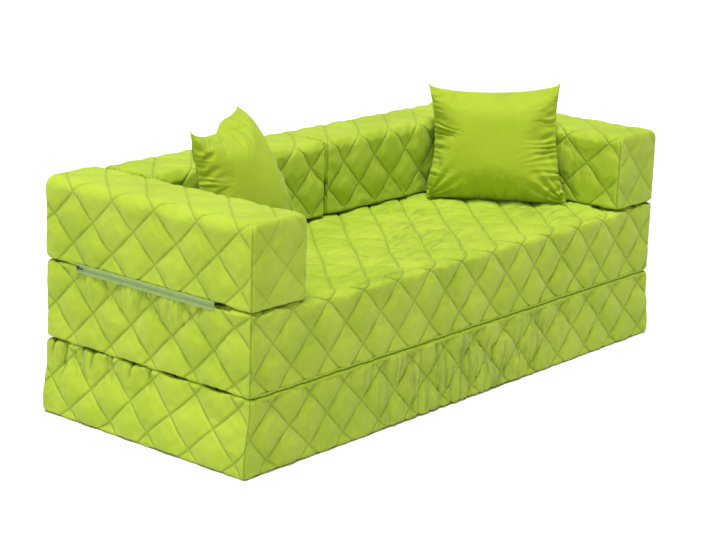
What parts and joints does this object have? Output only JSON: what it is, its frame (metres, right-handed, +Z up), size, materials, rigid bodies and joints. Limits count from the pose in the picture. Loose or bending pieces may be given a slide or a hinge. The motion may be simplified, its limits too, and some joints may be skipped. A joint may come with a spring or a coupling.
{
  "type": "sofa bed",
  "caption": "Lime-green quilted foam sofa bed that folds out flat, with zipped-on arms and split backrest and two throw pillows.",
  "frame": {"origin": "on the floor under the middle of the base block", "axes": "+Z up, the front faces -Y, +X runs along the length to the right arm as seen from the front"},
  "size_m": [2.0166, 0.8535, 0.8642],
  "materials": {
    "quilted_fabric": "diamond-quilted microfibre, lime green, soft sheen",
    "pillow_fabric": "plain smooth microfibre, lime green",
    "zip_tape": "woven tape, pale grey-green",
    "fold_fabric": "sewn cover fabric",
    "zip_teeth": "moulded coil, pale green",
    "zip_metal": "dark burnished metal",
    "foam": "open-cell polyurethane foam",
    "filling": "polyester fibre filling"
  },
  "bodies": {
    "base": {"base_foam": "foam", "base_cover": "quilted_fabric", "front_fold_piping": "fold_fabric", "front_fold_base_flap": "fold_fabric"},
    "seat": {"seat_foam": "foam", "seat_cover": "quilted_fabric", "front_fold_seat_flap": "fold_fabric", "left_arm_zip_lower_tape": "zip_tape", "right_arm_zip_lower_tape": "zip_tape", "left_back_zip_lower_tape": "zip_tape", "right_back_zip_lower_tape": "zip_tape", "left_arm_zip_teeth": "zip_teeth", "right_arm_zip_teeth": "zip_teeth", "left_back_zip_teeth": "zip_teeth", "right_back_zip_teeth": "zip_teeth"},
    "left_arm": {"left_arm_foam": "foam", "left_arm_cover": "quilted_fabric", "left_arm_zip_upper_tape": "zip_tape"},
    "right_arm": {"right_arm_foam": "foam", "right_arm_cover": "quilted_fabric", "right_arm_zip_upper_tape": "zip_tape"},
    "left_back": {"left_back_foam": "foam", "left_back_cover": "quilted_fabric", "left_back_zip_upper_tape": "zip_tape"},
    "right_back": {"right_back_foam": "foam", "right_back_cover": "quilted_fabric", "right_back_zip_upper_tape": "zip_tape"},
    "left_pillow": {"left_pillow_cover": "pillow_fabric", "left_pillow_filling": "filling"},
    "right_pillow": {"right_pillow_cover": "pillow_fabric", "right_pillow_filling": "filling"},
    "left_arm_slider": {"left_arm_zip_slider": "zip_metal"},
    "left_arm_pull": {"left_arm_zip_pull": "zip_metal"},
    "right_arm_slider": {"right_arm_zip_slider": "zip_metal"},
    "right_arm_pull": {"right_arm_zip_pull": "zip_metal"},
    "left_back_slider": {"left_back_zip_slider": "zip_metal"},
    "left_back_pull": {"left_back_zip_pull": "zip_metal"},
    "right_back_slider": {"right_back_zip_slider": "zip_metal"},
    "right_back_pull": {"right_back_zip_pull": "zip_metal"}
  },
  "joints": [
    {"name": "seat_fold", "type": "hinge", "parent": "base", "child": "seat", "pos_m": [0, -0.423, 0.24], "axis": [1, 0, 0], "range_deg": [0, 180]},
    {"name": "left_arm_fold", "type": "hinge", "parent": "seat", "child": "left_arm", "pos_m": [-1.003, 0, 0.474], "axis": [0, -1, 0], "range_deg": [0, 180]},
    {"name": "right_arm_fold", "type": "hinge", "parent": "seat", "child": "right_arm", "pos_m": [1.003, 0, 0.474], "axis": [0, 1, 0], "range_deg": [0, 180]},
    {"name": "left_back_fold", "type": "hinge", "parent": "seat", "child": "left_back", "pos_m": [-0.38875, 0.423, 0.474], "axis": [-1, 0, 0], "range_deg": [0, 180]},
    {"name": "right_back_fold", "type": "hinge", "parent": "seat", "child": "right_back", "pos_m": [0.38875, 0.423, 0.474], "axis": [-1, 0, 0], "range_deg": [0, 180]},
    {"name": "left_pillow_lift", "type": "slide", "parent": "left_back", "child": "left_pillow", "axis": [0, 0, 1], "range_m": [0, 0.35]},
    {"name": "right_pillow_lift", "type": "slide", "parent": "right_back", "child": "right_pillow", "axis": [0, 0, 1], "range_m": [0, 0.35]},
    {"name": "left_arm_slider_slide", "type": "slide", "parent": "seat", "child": "left_arm_slider", "axis": [0, -1, 0], "range_m": [0, 0.5414]},
    {"name": "left_arm_pull_turn", "type": "hinge", "parent": "left_arm_slider", "child": "left_arm_pull", "pos_m": [-1.0073, 0.2707, 0.474], "axis": [0, 0, -1], "range_deg": [0, 180]},
    {"name": "right_arm_slider_slide", "type": "slide", "parent": "seat", "child": "right_arm_slider", "axis": [0, -1, 0], "range_m": [0, 0.5414]},
    {"name": "right_arm_pull_turn", "type": "hinge", "parent": "right_arm_slider", "child": "right_arm_pull", "pos_m": [1.0073, 0.2707, 0.474], "axis": [0, 0, 1], "range_deg": [0, 180]},
    {"name": "left_back_slider_slide", "type": "slide", "parent": "seat", "child": "left_back_slider", "axis": [1, 0, 0], "range_m": [0, 0.5419]},
    {"name": "left_back_pull_turn", "type": "hinge", "parent": "left_back_slider", "child": "left_back_pull", "pos_m": [-0.6597, 0.4273, 0.474], "axis": [0, 0, 1], "range_deg": [0, 180]},
    {"name": "right_back_slider_slide", "type": "slide", "parent": "seat", "child": "right_back_slider", "axis": [-1, 0, 0], "range_m": [0, 0.5419]},
    {"name": "right_back_pull_turn", "type": "hinge", "parent": "right_back_slider", "child": "right_back_pull", "pos_m": [0.6597, 0.4273, 0.474], "axis": [0, 0, -1], "range_deg": [0, 180]}
  ],
  "couplings": [
    {"joint": "left_arm_fold", "follows": "seat_fold", "ratio": 1},
    {"joint": "right_arm_fold", "follows": "seat_fold", "ratio": 1},
    {"joint": "left_back_fold", "follows": "seat_fold", "ratio": 1},
    {"joint": "right_back_fold", "follows": "seat_fold", "ratio": 1}
  ]
}
